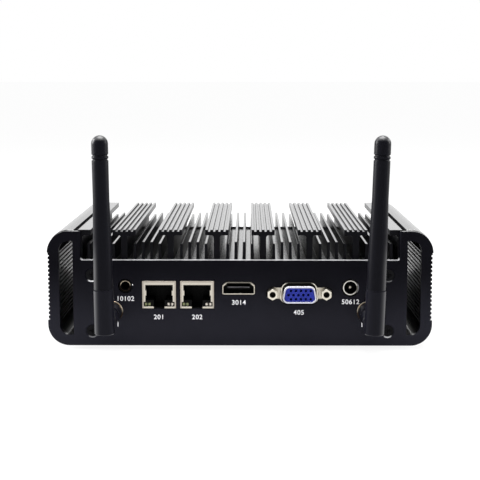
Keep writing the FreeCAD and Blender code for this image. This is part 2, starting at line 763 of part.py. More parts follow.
def dsub_socket():
    """Shell on its flange, the insert with fifteen holes, and two hex standoffs."""
    flange_y = FRONT + FLANGE_SINK
    outline = rounded_rectangle(DSUB_X, DSUB_Z, FLANGE_W, FLANGE_H, FLANGE_R)
    flange = prism(outline, flange_y, FLANGE_T)
    front, back = flange_y - DSUB_OUT, flange_y + FLANGE_T
    shell = prism(d_outline(0), front, DSUB_OUT)
    bore = prism(d_outline(-DSUB_WALL), front, back - front)
    lip_y = flange_y - DSUB_LIP_T
    lip = prism(d_outline(DSUB_LIP), lip_y, DSUB_LIP_T)
    lip = lip.cut(prism(d_outline(DSUB_LIP - DSUB_LIP_W), lip_y, DSUB_LIP_T))
    shell = shell.fuse(flange).fuse(lip).cut(bore)
    nose = prism(d_outline(-DSUB_WALL), front + INSERT_SINK, back - front - INSERT_SINK)
    rear = block(DSUB_X - DSUB_W / 2, DSUB_X + DSUB_W / 2, back, back + INSERT_REAR,
                 DSUB_Z - FLANGE_H / 2, BOARD_Z)
    insert = nose.fuse(rear)
    for row in (-1, 0, 1):
        shift = PIN_PITCH / 4 if row else -PIN_PITCH / 4
        for i in range(PINS):
            px = DSUB_X + (i - (PINS - 1) / 2) * PIN_PITCH + shift
            pz = DSUB_Z + row * PIN_ROW
            insert = insert.cut(rod(px, pz, PIN_HOLE_R, front, front + PIN_HOLE_LEN))
    jackscrews = []
    for side in (-1, 1):
        x = DSUB_X + side * JACKSCREW_SPACING / 2
        nut = hexagon(x, DSUB_Z, JACKSCREW_AF, flange_y - JACKSCREW_LEN, flange_y)
        bore = rod(x, DSUB_Z, JACKSCREW_R, flange_y - JACKSCREW_LEN, flange_y - JACKSCREW_WEB)
        nut = nut.cut(bore)
        jackscrews.append(nut)
    return shell, insert, jackscrews


def power_inlet():
    """Barrel inlet: moulded body, metal sleeve and centre pin."""
    x, z = POWER_X, POWER_Z
    nose_r = POWER_R + POWER_NOSE
    body = block(x - POWER_W / 2, x + POWER_W / 2, FRONT_IN, FRONT_IN + POWER_LEN,
                 BOARD_Z - POWER_H, BOARD_Z)
    sleeve_end = FRONT_IN + BOARD_CLEAR - TURN_GAP
    body = body.fuse(rod(x, z, nose_r, FRONT + POWER_SINK, sleeve_end))
    body = body.cut(rod(x, z, POWER_R, FRONT, sleeve_end))
    body = body.cut(rod(x, z, POWER_R - POWER_WALL, FRONT, FRONT + POWER_DEEP))
    sleeve = tube(x, z, POWER_R, POWER_R - POWER_WALL, FRONT + SLEEVE_SINK, sleeve_end)
    tip = FRONT + POWER_PIN_SINK
    pin = rod(x, z, POWER_PIN_R, tip + POWER_PIN_R, FRONT + POWER_DEEP)
    pin = pin.fuse(Part.makeSphere(POWER_PIN_R, V(x, tip + POWER_PIN_R, z)))
    return body, sleeve, pin


def audio_socket():
    x, z = AUDIO_X, AUDIO_Z
    body = block(x - AUDIO_W / 2, x + AUDIO_W / 2, FRONT_IN, FRONT_IN + AUDIO_LEN,
                 z - AUDIO_R, BOARD_Z)
    body = body.fuse(rod(x, z, AUDIO_R, FRONT + AUDIO_NOSE_SINK, FRONT_IN))
    body = body.cut(rod(x, z, AUDIO_LIP_R, FRONT, FRONT + AUDIO_WALL))
    body = body.cut(rod(x, z, AUDIO_BORE_R, FRONT, FRONT_IN + AUDIO_LEN - AUDIO_WALL))
    lip_in = AUDIO_LIP_R - AUDIO_LIP_T
    ring = tube(x, z, AUDIO_LIP_R, lip_in, FRONT + AUDIO_SINK, FRONT + AUDIO_WALL)
    return body, ring


def connector_panel():
    """The end plate at -Y with an opening for each socket."""
    plate = end_plate(FRONT, 1)
    back = FRONT_IN
    gap = PORT_GAP
    for x in (LAN_X1, LAN_X2):
        half = LAN_W / 2 + gap
        plate = plate.cut(block(x - half, x + half, FRONT, back, LAN_Z - gap, LAN_TOP + gap))
    plate = plate.cut(prism(video_outline(gap), FRONT, PLATE_T))
    plate = plate.cut(prism(d_outline(DSUB_CUT), FRONT, PLATE_T))
    pocket = rounded_rectangle(DSUB_X, DSUB_Z, FLANGE_W + 2 * gap, FLANGE_H + 2 * gap, FLANGE_R)
    plate = plate.cut(prism(pocket, FRONT + FLANGE_SINK, PLATE_T - FLANGE_SINK))
    for side in (-1, 1):
        x = DSUB_X + side * JACKSCREW_SPACING / 2
        hole_r = JACKSCREW_AF / 2 / math.cos(math.pi / 6) + 2 * gap
        plate = plate.cut(rod(x, DSUB_Z, hole_r, FRONT, back))
        near, far = sorted((x, x - side * JACKSCREW_SPACING / 4))
        ear = block(near, far, FRONT, back, DSUB_Z - EAR_H / 2, DSUB_Z + EAR_H / 2)
        plate = plate.cut(ear)
    plate = plate.cut(rod(POWER_X, POWER_Z, POWER_R + POWER_NOSE + gap, FRONT, back))
    plate = plate.cut(rod(AUDIO_X, AUDIO_Z, AUDIO_R + 2 * gap, FRONT, back))
    for x in (-RADIO_X, RADIO_X):
        plate = plate.cut(rod(x, RADIO_Z, THREAD_R + TURN_GAP, FRONT, back))
    return plate


def radio_bulkhead(x):
    """Threaded feed-through, with its washer and nut outside the panel."""
    z = RADIO_Z
    body = rod(x, z, THREAD_R, FRONT - THREAD_OUT, FRONT_IN + THREAD_IN)
    body = body.fuse(hexagon(x, z, NUT_AF, FRONT_IN, FRONT_IN + NUT_T))
    body = body.cut(rod(x, z, THREAD_R / 2, FRONT - THREAD_OUT, FRONT - THREAD_WEB))
    washer_y = FRONT - WASHER_T
    bore = THREAD_R + TURN_GAP
    washer = tube(x, z, WASHER_R, bore, washer_y, FRONT)
    nut_y = washer_y - NUT_T
    nut = hexagon(x, z, NUT_AF, nut_y, washer_y).cut(rod(x, z, bore, nut_y, washer_y))
    return body, washer, nut


def antenna(x, lean):
    """One antenna on the thread at x: coupling nut, knuckle, pin, whip foot and sleeve."""
    z = RADIO_Z
    nut_y = FRONT - WASHER_T - NUT_T - TURN_GAP
    nut_end = nut_y - COUPLING_LEN
    coupling = hexagon(x, z, 2 * COUPLING_R, nut_end, nut_y, COUPLING_FLAT_COUNT)
    bore_r = THREAD_R + 1.5 * TURN_GAP
    coupling = coupling.cut(rod(x, z, bore_r, nut_end + COUPLING_WEB, nut_y))
    coupling = coupling.cut(rod(x, z, STUB_R + TURN_GAP, nut_end, nut_end + COUPLING_WEB))

    collar_y = nut_end + COUPLING_WEB + 3 * TURN_GAP
    shoulder = nut_end - 3 * TURN_GAP
    neck = HINGE_Y + SWEEP_R
    knuckle = rod(x, z, THREAD_R, collar_y, collar_y + COLLAR_T)
    knuckle = knuckle.fuse(rod(x, z, STUB_R, shoulder, collar_y))
    barrel = rod(x, z, KNUCKLE_R, neck, shoulder)
    rims = [e for e in barrel.Edges if e.BoundBox.YLength < 1e-6]
    knuckle = knuckle.fuse(barrel.makeChamfer(KNUCKLE_EDGE, rims))
    tongue = block(x - TONGUE_T / 2, x + TONGUE_T / 2, HINGE_Y, neck + TONGUE_ROOT,
                   z - TONGUE_R, z + TONGUE_R)
    eye = Part.makeCylinder(TONGUE_R, TONGUE_T, V(x - TONGUE_T / 2, HINGE_Y, z), V(1, 0, 0))
    knuckle = knuckle.fuse(tongue).fuse(eye)
    pin_len = 2 * FOOT_R - PIN_SHORT
    start = V(x - pin_len / 2, HINGE_Y, z)
    clear_pin = Part.makeCylinder(PIN_R + TURN_GAP / 2, pin_len, start, V(1, 0, 0))
    knuckle = knuckle.cut(clear_pin)
    pin = Part.makeCylinder(PIN_R, pin_len, start, V(1, 0, 0))

    foot = whip_foot(x, z, clear_pin)
    sleeve = whip_sleeve(x, z - FOOT_DROP + FOOT_LEN)
    moved = [knuckle, pin, foot, sleeve]
    for piece in moved:
        piece.rotate(V(x, 0, z), V(0, 1, 0), lean)
    return [coupling] + moved


def whip_foot(x, z, pin_hole):
    """Moulded foot of the whip, slotted behind and below for the tongue."""
    r, rim = FOOT_R, FOOT_EDGE
    top = FOOT_LEN - FOOT_DROP
    half = Outline(0, -FOOT_DROP)
    half.path([(r - rim, -FOOT_DROP), (r, -FOOT_DROP + rim), (r, top - rim)])
    half.path([(r - rim / 2, top), (SPIGOT_R, top), (SPIGOT_R, top + SPIGOT_LEN)])
    half.to(0, top + SPIGOT_LEN)
    foot = spun(half, x, HINGE_Y, z)
    slot = TONGUE_T / 2 + HINGE_GAP
    room = TONGUE_R + HINGE_GAP
    far = 2 * FOOT_R
    y = HINGE_Y
    cut = Part.makeCylinder(room, 2 * slot, V(x - slot, y, z), V(1, 0, 0))
    cut = cut.fuse(block(x - slot, x + slot, y - room, y + far, z - far, z))
    cut = cut.fuse(block(x - slot, x + slot, y, y + far, z - far, z + room))
    return foot.cut(cut).cut(pin_hole)


def whip_sleeve(x, z):
    """Rubber sleeve: a slow taper, two rings cut below the cap, and a round tip."""
    r = TIP_R
    straight = SLEEVE_LEN - r
    taper = Part.BSplineCurve()
    mid = (SLEEVE_R + TIP_R) / 2
    taper.interpolate([V(SLEEVE_R, 0, 0), V(mid + TAPER_BULGE, 0, TAPER_LEN / 2), V(r, 0, TAPER_LEN)])
    half = Outline(SPIGOT_R + TURN_GAP, 0)
    half.to(SLEEVE_R, 0)
    half.edges.append(taper.toShape())
    half.at = V(r, 0, TAPER_LEN)
    for i in (1, 0):
        ring = SLEEVE_LEN - RING_DROP - i * RING_PITCH
        half.to(r, ring - RING_W / 2)
        half.to(r - RING_CUT, ring - RING_W / 4)
        half.to(r - RING_CUT, ring + RING_W / 4)
        half.to(r, ring + RING_W / 2)
    half.turn(0, straight, r, 0, 90)
    half.to(0, SPIGOT_LEN + TURN_GAP)
    half.to(SPIGOT_R + TURN_GAP, SPIGOT_LEN + TURN_GAP)
    return spun(half, x, HINGE_Y, z)


def lead(points):
    """Thin coaxial lead: straight runs joined by arcs as large as the runs allow."""
    edges = []
    at = points[0]
    for before, corner, after in zip(points, points[1:], points[2:]):
        run_in, run_out = corner - before, after - corner
        turn = run_in.getAngle(run_out)
        reach = BEND_SHARE * min(run_in.Length, run_out.Length)
        toward = V(run_in).normalize()
        away = V(run_out).normalize()
        start = corner - toward * reach
        end = corner + away * reach
        radius = reach / math.tan(turn / 2)
        inward = (away - toward).normalize()
        middle = corner + inward * (radius / math.cos(turn / 2) - radius)
        edges.append(Part.LineSegment(at, start).toShape())
        edges.append(Part.Arc(start, middle, end).toShape())
        at = end
    edges.append(Part.LineSegment(at, points[-1]).toShape())
    path = Part.Wire(edges)
    ring = Part.Wire(Part.Circle(points[0], points[1] - points[0], LEAD_R).toShape())
    return path.makePipeShell([ring], True, False)


def lead_points(side):
    """Route from a feed-through, under the cards, up to the radio card."""
    start = V(side * RADIO_X, FRONT_IN + THREAD_IN, RADIO_Z)
    x = RADIO_CARD_X + side * LEAD_SPREAD
    y = CARD_ROW_Y + PILLAR_INSET
    low = RADIO_Z - LEAD_DIP
    return [start, start + V(0, LEAD_RUN, 0), V(x + side * LEAD_RUN, y - LEAD_RUN, low),
            V(x, y, low), V(x, y, CARD_Z)]


def inner_boards():
    """Main board with its posts, processor, spreader and plug-in cards."""
    y0, y1 = FRONT_IN + BOARD_CLEAR, BACK_IN - BOARD_CLEAR
    board = block(-BOARD_HALF_W, BOARD_HALF_W, y0, y1, BOARD_Z, BOARD_TOP)
    posts, screws = [], []
    for x in (-POST_X, POST_X):
        for y in (-POST_Y, POST_Y):
            hole = Part.makeCylinder(SCREW_R, BOARD_T, V(x, y, BOARD_Z))
            board = board.cut(hole)
            post = Part.makeCylinder(POST_R, BASE_Z - BOARD_TOP, V(x, y, BOARD_TOP))
            core = Part.makeCylinder(SCREW_CORE_R, POST_CORE, V(x, y, BOARD_TOP))
            posts.append(post.cut(core))
            head = Part.makeCylinder(SCREW_HEAD_R, HEAD_H, V(x, y, BOARD_Z - HEAD_H))
            shank = Part.makeCylinder(SCREW_CORE_R, BOARD_T + POST_GRIP, V(x, y, BOARD_Z))
            screws.append(head.fuse(shank))
    save("main_board", board)
    save("board_posts", *posts)
    save("board_screws", *screws)

    half = CHIP_W / 2
    chip_top = BOARD_TOP + CHIP_T
    pad_z = BASE_Z - PAD_T
    save("processor", block(-half, half, -half, half, BOARD_TOP, chip_top))
    half = SPREADER_W / 2
    save("heat_spreader", block(-half, half, -half, half, chip_top, pad_z))
    save("thermal_pad", block(-half, half, -half, half, pad_z, BASE_Z))

    half = MEMORY_W / 2
    module = block(-half, half, MEMORY_Y, MEMORY_Y + MEMORY_LEN, CARD_Z, CARD_Z + CARD_T)
    half += SLOT_WALL
    slot_end = MEMORY_Y + SLOT_GRIP
    socket = block(-half, half, slot_end - SLOT_LEN, slot_end, BOARD_Z - SLOT_H, BOARD_Z)
    save("memory_socket", socket.cut(module))
    save("memory_module", module)
    save("storage_card", *plug_in_card(STORAGE_X, STORAGE_W, STORAGE_LEN))
    save("radio_card", *plug_in_card(RADIO_CARD_X, RADIO_CARD_W, RADIO_CARD_LEN))


def plug_in_card(x, w, length):
    """A small card on its edge socket and two pillars, all one soldered group."""
    end = CARD_ROW_Y + length
    card = block(x - w / 2, x + w / 2, CARD_ROW_Y, end, CARD_Z, CARD_Z + CARD_T)
    socket = block(x - w / 2, x + w / 2, end - EDGE_SOCKET_LEN, end, CARD_Z + CARD_T, BOARD_Z)
    pillars = []
    for side in (-1, 1):
        across = x + side * (w / 2 - PILLAR_INSET)
        place = V(across, CARD_ROW_Y + PILLAR_INSET, CARD_Z + CARD_T)
        pillars.append(Part.makeCylinder(PILLAR_R, CARD_DROP, place))
    return [card, socket] + pillars


def bottom_cover():
    """Flat cover with the mounting pattern and its own countersunk holes."""
    half = RAIL_IN_X - SHEET_CLEAR
    y0, y1 = FRONT_IN + SHEET_CLEAR, BACK_IN - SHEET_CLEAR
    cover = block(-half, half, y0, y1, 0, COVER_T)
    for x in (-1, 1):
        for y in (-1, 1):
            place = V(x * HOLE_SPACING / 2, y * HOLE_SPACING / 2, 0)
            cover = cover.cut(Part.makeCylinder(HOLE_R, COVER_T, place))
            place = V(x * SCREW_X, y * COVER_SCREW_Y, 0)
            cone = Part.makeCone(SCREW_HEAD_R, SCREW_CORE_R, HEAD_H, place)
            cover = cover.cut(cone.fuse(Part.makeCylinder(SCREW_CORE_R, COVER_T, place)))
    return cover


def cover_screws():
    screws = []
    for x in (-SCREW_X, SCREW_X):
        for y in (-COVER_SCREW_Y, COVER_SCREW_Y):
            place = V(x, y, 0)
            head = Part.makeCone(SCREW_HEAD_R, SCREW_CORE_R, HEAD_H, place)
            shank = Part.makeCylinder(SCREW_CORE_R, COVER_SCREW_LEN, place)
            half, arm = RECESS_W / 2, RECESS_LEN / 2
            cross = block(x - half, x + half, y - arm, y + arm, 0, RECESS_DEPTH)
            cross = cross.fuse(block(x - arm, x + arm, y - half, y + half, 0, RECESS_DEPTH))
            screws.append(head.fuse(shank).cut(cross))
    return screws


def rubber_feet():
    feet = []
    for x in (-RUBBER_X, RUBBER_X):
        for y in (-RUBBER_Y, RUBBER_Y):
            foot = Part.makeCylinder(RUBBER_R, RUBBER_H, V(x, y, -RUBBER_H))
            rim = [e for e in foot.Edges if e.BoundBox.ZMax < -RUBBER_H + 1e-6]
            feet.append(foot.makeChamfer(RUBBER_EDGE, rim))
    return feet


def usb_places():
    return [(i - (USB_COUNT - 1) / 2) * USB_PITCH for i in range(USB_COUNT)]


def usb_socket(x):
    """Flat four-pin socket at the panel opposite, hung from the board."""
    end = BACK + PORT_PROUD
    start = end - USB_LEN
    shell = prism(rounded_rectangle(x, USB_Z, USB_W, USB_H, USB_R), start, USB_LEN)
    w, h = USB_W - 2 * USB_WALL, USB_H - 2 * USB_WALL
    inside = rounded_rectangle(x, USB_Z, w, h, USB_R - USB_WALL)
    shell = shell.cut(prism(inside, start, USB_LEN))
    half = w / 2 - USB_TONGUE_SIDE
    low = USB_Z - h / 2 + USB_TONGUE_LIFT
    tongue = block(x - half, x + half, start, end - USB_TONGUE_SINK, low, low + USB_TONGUE_T)
    return shell, prism(inside, start, USB_REAR).fuse(tongue)


def start_button():
    """Bezel on the panel, the cap that moves in it, and the switch behind."""
    x, z = BUTTON_X, BUTTON_Z
    skirt_r = BUTTON_R + BUTTON_SKIRT
    lip = BACK + BEZEL_T
    inner_end = BACK - BARREL_LEN
    bezel = rod(x, z, BEZEL_R, BACK, lip)
    rims = [e for e in bezel.Edges if e.BoundBox.YMin > lip - 1e-6]
    bezel = bezel.makeChamfer(BUTTON_EDGE, rims).fuse(rod(x, z, BARREL_R, inner_end, BACK))
    bezel = bezel.cut(rod(x, z, BUTTON_R + TURN_GAP, BACK - BEZEL_STEP, lip))
    bezel = bezel.cut(rod(x, z, skirt_r + TURN_GAP, inner_end, BACK - BEZEL_STEP))
    shoulder = BACK - BEZEL_STEP - TURN_GAP
    cap = rod(x, z, BUTTON_R, shoulder, lip + BUTTON_PROUD)
    rims = [e for e in cap.Edges if e.BoundBox.YMin > lip + BUTTON_PROUD - 1e-6]
    cap = cap.makeChamfer(BUTTON_EDGE, rims)
    cap = cap.fuse(rod(x, z, skirt_r, shoulder - BUTTON_LEN, shoulder))
    switch_end = shoulder - BUTTON_LEN - BUTTON_TRAVEL - TURN_GAP
    switch = rod(x, z, skirt_r + TURN_GAP, inner_end - SWITCH_REAR, switch_end)
    return bezel, cap, switch


def light_places():
    return [LIGHT_X, LIGHT_X - LIGHT_PITCH]


def back_panel():
    """The end plate at +Y with its openings."""
    plate = end_plate(BACK, -1)
    gap = PORT_GAP
    for x in usb_places():
        opening = rounded_rectangle(x, USB_Z, USB_W + 2 * gap, USB_H + 2 * gap, USB_R + gap)
        plate = plate.cut(prism(opening, BACK_IN, PLATE_T))
    plate = plate.cut(rod(BUTTON_X, BUTTON_Z, BARREL_R + TURN_GAP, BACK_IN, BACK))
    for x in light_places():
        plate = plate.cut(rod(x, USB_Z, LIGHT_R + TURN_GAP, BACK_IN, BACK))
    return plate


def status_lights():
    """Clear light pipes from the board's edge to the panel."""
    pipes = []
    half = LIGHT_LEG / 2
    start = BACK - LIGHT_LEN
    for x in light_places():
        pipe = rod(x, USB_Z, LIGHT_R, start, BACK + PORT_PROUD)
        leg = block(x - half, x + half, start, start + LIGHT_LEG, USB_Z, BOARD_Z)
        pipes.append(pipe.fuse(leg))
    return pipes


# Casing
rail = side_rail()
save("side_rail_right", rail)
save("side_rail_left", mirrored(rail))
save("heat_sink", heat_sink())
save("connector_panel", connector_panel())
save("back_panel", back_panel())
save("bottom_cover", bottom_cover())
save("connector_panel_screws", *[screw(x, z, FRONT, 1) for x, z in screw_places()])
save("back_panel_screws", *[screw(x, z, BACK, -1) for x, z in screw_places()])
save("cover_screws", *cover_screws())
save("rubber_feet", *rubber_feet())

# Electronics
inner_boards()

# Sockets of the connector panel
all_wires, all_lamps = [], []
for name, lan_x in (("1", LAN_X1), ("2", LAN_X2)):
    lan_shield, lan_insert, lan_wires, lan_lamps = lan_socket(lan_x)
    save(f"lan_shield_{name}", lan_shield)
    save(f"lan_insert_{name}", lan_insert)
    all_wires += lan_wires
    all_lamps += lan_lamps
save("lan_contacts", *all_wires)
save("lan_lamps", *all_lamps)
video_shell, video_tongue = video_socket()
save("video_shell", video_shell)
save("video_tongue", video_tongue)
dsub_shell, dsub_insert, dsub_screws = dsub_socket()
save("dsub_shell", dsub_shell)
save("dsub_insert", dsub_insert)
save("dsub_jackscrews", *dsub_screws)
power_body, power_sleeve, power_pin = power_inlet()
save("power_inlet", power_body)
save("power_sleeve", power_sleeve)
save("power_pin", power_pin)
audio_body, audio_ring = audio_socket()
save("audio_socket", audio_body)
save("audio_ring", audio_ring)

# Antennas and their leads
bulkheads = [radio_bulkhead(side * RADIO_X) for side in (-1, 1)]
for node, pieces in zip(("radio_bulkheads", "radio_washers", "radio_nuts"), zip(*bulkheads)):
    save(node, *pieces)
for name, side, lean in (("left", -1, -LEAN_LEFT), ("right", 1, LEAN_RIGHT)):
    parts = ("coupling", "knuckle", "hinge_pin", "foot", "sleeve")
    for part, piece in zip(parts, antenna(side * RADIO_X, lean)):
        save(f"antenna_{part}_{name}", piece)
    save(f"antenna_lead_{name}", lead(lead_points(side)))

# Panel opposite
usb_pairs = [usb_socket(x) for x in usb_places()]
save("usb_shells", *[shell for shell, tongue in usb_pairs])
save("usb_tongues", *[tongue for shell, tongue in usb_pairs])
button_bezel, button_cap, button_switch = start_button()
save("button_bezel", button_bezel)
save("start_button", button_cap)
save("button_switch", button_switch)
save("status_lights", *status_lights())
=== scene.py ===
import math

import bmesh
import bpy
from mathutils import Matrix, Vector


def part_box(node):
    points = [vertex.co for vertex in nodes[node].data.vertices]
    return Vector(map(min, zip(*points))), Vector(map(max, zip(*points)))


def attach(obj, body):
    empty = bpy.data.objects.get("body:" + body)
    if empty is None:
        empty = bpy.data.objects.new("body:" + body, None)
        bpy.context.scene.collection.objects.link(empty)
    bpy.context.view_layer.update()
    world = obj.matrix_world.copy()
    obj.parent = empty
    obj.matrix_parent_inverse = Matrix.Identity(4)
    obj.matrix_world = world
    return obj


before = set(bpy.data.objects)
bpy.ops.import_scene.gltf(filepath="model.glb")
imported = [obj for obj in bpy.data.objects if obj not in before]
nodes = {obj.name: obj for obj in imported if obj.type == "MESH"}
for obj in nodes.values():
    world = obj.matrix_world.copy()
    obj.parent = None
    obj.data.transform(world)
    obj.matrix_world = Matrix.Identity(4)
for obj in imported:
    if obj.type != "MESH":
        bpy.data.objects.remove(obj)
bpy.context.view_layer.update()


# Bottom cover: 2 mm steel sheet laid between the side rails and held by four countersunk screws.
# It is powder coated matt black, and its four plain holes take a 75 mm arm or wall plate.

class Amount:
    """One output of a node; arithmetic on it adds Math nodes."""

    def __init__(self, wiring, socket):
        self.wiring, self.socket = wiring, socket

    def math(self, operation, *others):
        """A Math node that takes this amount first."""
        return self.wiring.node("Math", {"operation": operation},
                                dict(enumerate((self, *others))))

    def __add__(self, other):
        return self.math("ADD", other)

    def __sub__(self, other):
        return self.math("SUBTRACT", other)

    def __rsub__(self, other):
        return self.wiring.node("Math", {"operation": "SUBTRACT"}, {0: other, 1: self})

    def __mul__(self, other):
        return self.math("MULTIPLY", other)

    __radd__ = __add__
    __rmul__ = __mul__

    def __abs__(self):
        return self.math("ABSOLUTE")

    def near(self, centre, reach):
        """One within reach of a value, otherwise nothing."""
        return self.math("COMPARE", centre, reach)


class Wiring:
    """The nodes of a finish, or of the air round the computer."""

    def __init__(self, tree):
        self.tree = tree

    def node(self, kind, settings, sockets, output=0):
        """Add a node: its settings first, then what its sockets hold or are linked to."""
        made = self.tree.nodes.new("ShaderNode" + kind)
        for name, value in settings.items():
            setattr(made, name, value)
        self.feed(made, sockets)
        return Amount(self, made.outputs[output])

    def feed(self, made, sockets):
        """Set the sockets of a node, or link them where an amount is given."""
        for name, value in sockets.items():
            if isinstance(value, Amount):
                self.tree.links.new(value.socket, made.inputs[name])
            else:
                made.inputs[name].default_value = value


class Finish(Wiring):
    """A material round one Principled shader, seen in the computer's own frame, in metres."""

    def __init__(self, name, **fixed):
        self.material = bpy.data.materials.new(name)
        self.material.use_nodes = True
        super().__init__(self.material.node_tree)
        self.shader = self.tree.nodes["Principled BSDF"]
        self.place = self.node("TexCoord", {}, {}, "Object")
        self.set(**fixed)

    def set(self, **sockets):
        """Fill the shader's sockets; base_color stands for Base Color."""
        self.feed(self.shader, {
            name.replace("_", " ").title().replace("Ior", "IOR"): value
            for name, value in sockets.items()})

    def cloud(self, size, detail=2.0, stretch=(1, 1, 1)):
        """Noise from 0 to 1 with features of about that size, drawn out along an axis."""
        scale = [1 / (size * s) for s in stretch]
        place = self.node("Mapping", {}, {"Vector": self.place, "Scale": scale})
        return self.node("TexNoise", {}, {"Vector": place, "Scale": 1.0, "Detail": detail})

    def between(self, low, high, share):
        """Colour between two, by share; each is three numbers or another colour."""
        first, last = (c if isinstance(c, Amount) else (*c, 1) for c in (low, high))
        return self.node("Mix", {"data_type": "RGBA"}, {0: share, 6: first, 7: last}, 2)

    def ramp(self, value, start, end, low=0.0, high=1.0):
        """Smooth step of a value, from low at the start to high at the end."""
        return self.node("MapRange", {"interpolation_type": "SMOOTHSTEP"},
                         {"Value": value, "From Min": start, "From Max": end,
                          "To Min": low, "To Max": high})

    def along(self, axis, vector=None):
        """One coordinate of the place, or of another vector."""
        return self.node("SeparateXYZ", {}, {0: vector or self.place}, "XYZ".index(axis))

    def facing(self, axis):
        """How far the surface faces along an axis, from -1 to 1."""
        return self.along(axis, self.node("NewGeometry", {}, {}, "Normal"))

    def radius(self, across, up):
        """Distance from a line along Y, by what is across and up from it."""
        return self.node("VectorMath", {"operation": "LENGTH"},
                         {0: self.node("CombineXYZ", {}, {"X": across, "Z": up})}, 1)

    def raised(self, height, depth, strength=1.0):
        """Bump the surface by a height of that depth in metres."""
        self.set(normal=self.node(
            "Bump", {}, {"Height": height, "Distance": depth, "Strength": strength}))


def dress(finish, *names):
    """Give CAD nodes a finish."""
    for name in names:
        nodes[name].data.materials.clear()
        nodes[name].data.materials.append(finish.material)


def ease_edges(*names, width, segments=2):
    """Break the sharp edges of CAD nodes, as tumbling or deburring does."""
    same_place, same_face, sharp = 1e-6, math.radians(0.5), math.radians(35)
    for name in names:
        part = nodes[name]
        part.data.polygons.foreach_set("use_smooth", [True] * len(part.data.polygons))
        weld = part.modifiers.new("join faces", "WELD")
        weld.merge_threshold = same_place
        flat = part.modifiers.new("flat faces", "DECIMATE")
        flat.decimate_type = "DISSOLVE"
        flat.angle_limit = same_face
        bevel = part.modifiers.new("broken edges", "BEVEL")
        bevel.width, bevel.segments = width, segments
        bevel.limit_method, bevel.angle_limit = "ANGLE", sharp
        bevel.use_clamp_overlap = True
        normals = part.modifiers.new("even shading", "WEIGHTED_NORMAL")
        normals.keep_sharp = True


powder = Finish("powder_coat", roughness=0.55, specular_ior_level=0.12)
peel = powder.cloud(0.0006)
powder.set(base_color=powder.between((0.004, 0.004, 0.005), (0.009, 0.009, 0.010), peel))
powder.raised(peel, 0.00002)
dress(powder, "bottom_cover")
ease_edges("bottom_cover", width=0.00015)


# Small steel screws: black oxide on everything outside, plain zinc on the board's own screws
# and posts and on the hinge pins. The recesses are punched, so their edges stay crisp.
outer_screws = ("connector_panel_screws", "back_panel_screws", "cover_screws")
oxide = Finish("black_oxide", specular_ior_level=0.06)
smut = oxide.cloud(0.0004)
oxide.set(base_color=oxide.between((0.0015, 0.0015, 0.002), (0.004, 0.004, 0.005), smut),
          roughness=smut * 0.2 + 0.25)
oxide.raised(smut, 0.000008)
dress(oxide, *outer_screws)
ease_edges(*outer_screws, width=0.0001)

zinc = Finish("plain_zinc", metallic=1.0)
spangle = zinc.cloud(0.0008)
zinc.set(base_color=zinc.between((0.50, 0.50, 0.52), (0.66, 0.66, 0.67), spangle),
         roughness=spangle * 0.2 + 0.25)
dress(zinc, "board_screws", "board_posts", "antenna_hinge_pin_left", "antenna_hinge_pin_right")


# Four round rubber feet, moulded with a bevelled rim and stuck to the cover.
# Matt black, with the faint mottle of moulded rubber.
foot_rubber = Finish("foot_rubber", roughness=0.8, specular_ior_level=0.3)
mottle = foot_rubber.cloud(0.0012)
foot_rubber.set(base_color=foot_rubber.between((0.012,) * 3, (0.022,) * 3, mottle))
foot_rubber.raised(mottle, 0.00003)
dress(foot_rubber, "rubber_feet")
ease_edges("rubber_feet", width=0.0003, segments=3)


# Side rails and heat sink: aluminium extrusions in satin black anodising, cut to 124 mm.
# Fine die lines run along them, and they turn bright where one looks along the surface.
def anodised(name, brushed):
    """Black anodising, brushed paler on top by a share, with its colour and its die lines."""
    metal = Finish(name, specular_ior_level=0.03, coat_ior=2.05, coat_roughness=0.15)
    lines = metal.cloud(0.0005, 3.0, (1, 60, 1))
    grain = metal.cloud(0.0002)
    black = metal.between((0.0015, 0.0015, 0.0020), (0.0050, 0.0050, 0.0065), lines)
    black = metal.between(black, (0.060, 0.060, 0.065),
                          metal.ramp(metal.facing("Z"), 0.7, 0.95, 0.0, brushed))
    metal.set(base_color=black, roughness=lines * 0.12 + grain * 0.08 + 0.30)
    return metal, black, lines + grain * 0.3


def glancing(finish, start, end, low=0.0, high=1.0):
    """Smooth step from a face seen square, at 0, to one seen along itself, at 1."""
    return finish.ramp(finish.node("LayerWeight", {}, {"Blend": 0.5}, "Facing"),
                       start, end, low, high)


def sheen(finish, walls, share=1.0):
    """Gloss of an upward face seen at a low angle, less on walls and none on undersides."""
    up = finish.facing("Z")
    by_slope = finish.ramp(up, 0.4, 0.9, walls, 1.0) * finish.ramp(up, -0.25, -0.05)
    finish.set(coat_weight=glancing(finish, 0.4, 0.75) * share * by_slope)


# The flat tops of the sink are its glossiest faces. Its blades keep some gloss on their walls,
# and the four grooves in each T-bar keep none.
sink, _, die_lines = anodised("heat_sink_anodising", 1.0)
low_corner, high_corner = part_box("heat_sink")
blade_sets = 7
pitch = (high_corner.x - low_corner.x) / blade_sets
from_fin = abs(sink.along("X").math("WRAP", pitch, 0.0) - pitch / 2)
height = sink.along("Z")
half_bar, bar_middle, bar_reach = 0.00435, 0.0530, 0.0012
groove = from_fin.near(0.0, half_bar) * height.near(bar_middle, bar_reach)
blade_top, bar_underside = 0.0495, 0.0515
blades = glancing(sink, 0.90, 0.97, 0.07, 0.65)
sink.set(coat_ior=2.15, metallic=sink.ramp(sink.facing("Z"), 0.4, 0.9))
sheen(sink, sink.ramp(height, blade_top, bar_underside, blades, 0.35) * (1.0 - groove))
sink.raised(die_lines, 0.000006)
dress(sink, "heat_sink")
ease_edges("heat_sink", width=0.00012)

